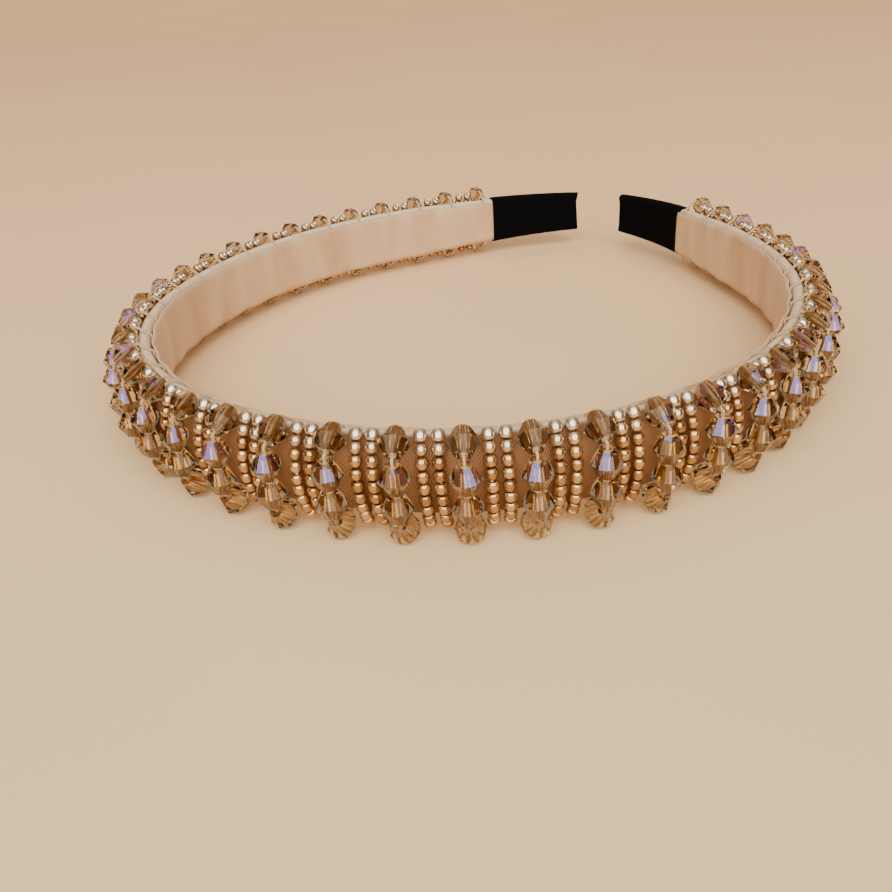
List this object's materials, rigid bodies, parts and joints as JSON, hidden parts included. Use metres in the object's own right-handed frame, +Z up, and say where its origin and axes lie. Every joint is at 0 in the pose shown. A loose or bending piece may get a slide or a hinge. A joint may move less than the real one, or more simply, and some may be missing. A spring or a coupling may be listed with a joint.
{
  "type": "crystal headband",
  "caption": "Narrow curved headband in a ribbon cover, wrapped with threads of bicone crystals and strings of small seed beads, with cloth sleeves on both tips.",
  "frame": {"origin": "on the surface it lies on, under the centre of the part's bounding box", "axes": "+Z up through the width of the band, which lies on its edge; the crown is towards -Y, the two tips towards +Y, and X is across the loop"},
  "size_m": [0.1202, 0.1398, 0.0154],
  "materials": {
    "hoop_plastic": "plain",
    "cover_cloth": "ribbed satin ribbon",
    "lining_cloth": "satin ribbon",
    "sleeve_cloth": "matte black cloth",
    "thread": "beading thread",
    "crystal_glass": "cut, champagne, with a pale blue and violet flash",
    "seed_glass": "gold lined"
  },
  "bodies": {
    "root": {"hoop": "hoop_plastic", "cover_ribbon": "cover_cloth", "lining_ribbon": "lining_cloth", "end_sleeve_left": "sleeve_cloth", "end_sleeve_right": "sleeve_cloth", "bead_thread": "thread", "crystals_left": "crystal_glass", "crystals_right": "crystal_glass", "seed_strings_left": "seed_glass", "seed_strings_right": "seed_glass"}
  },
  "joints": []
}
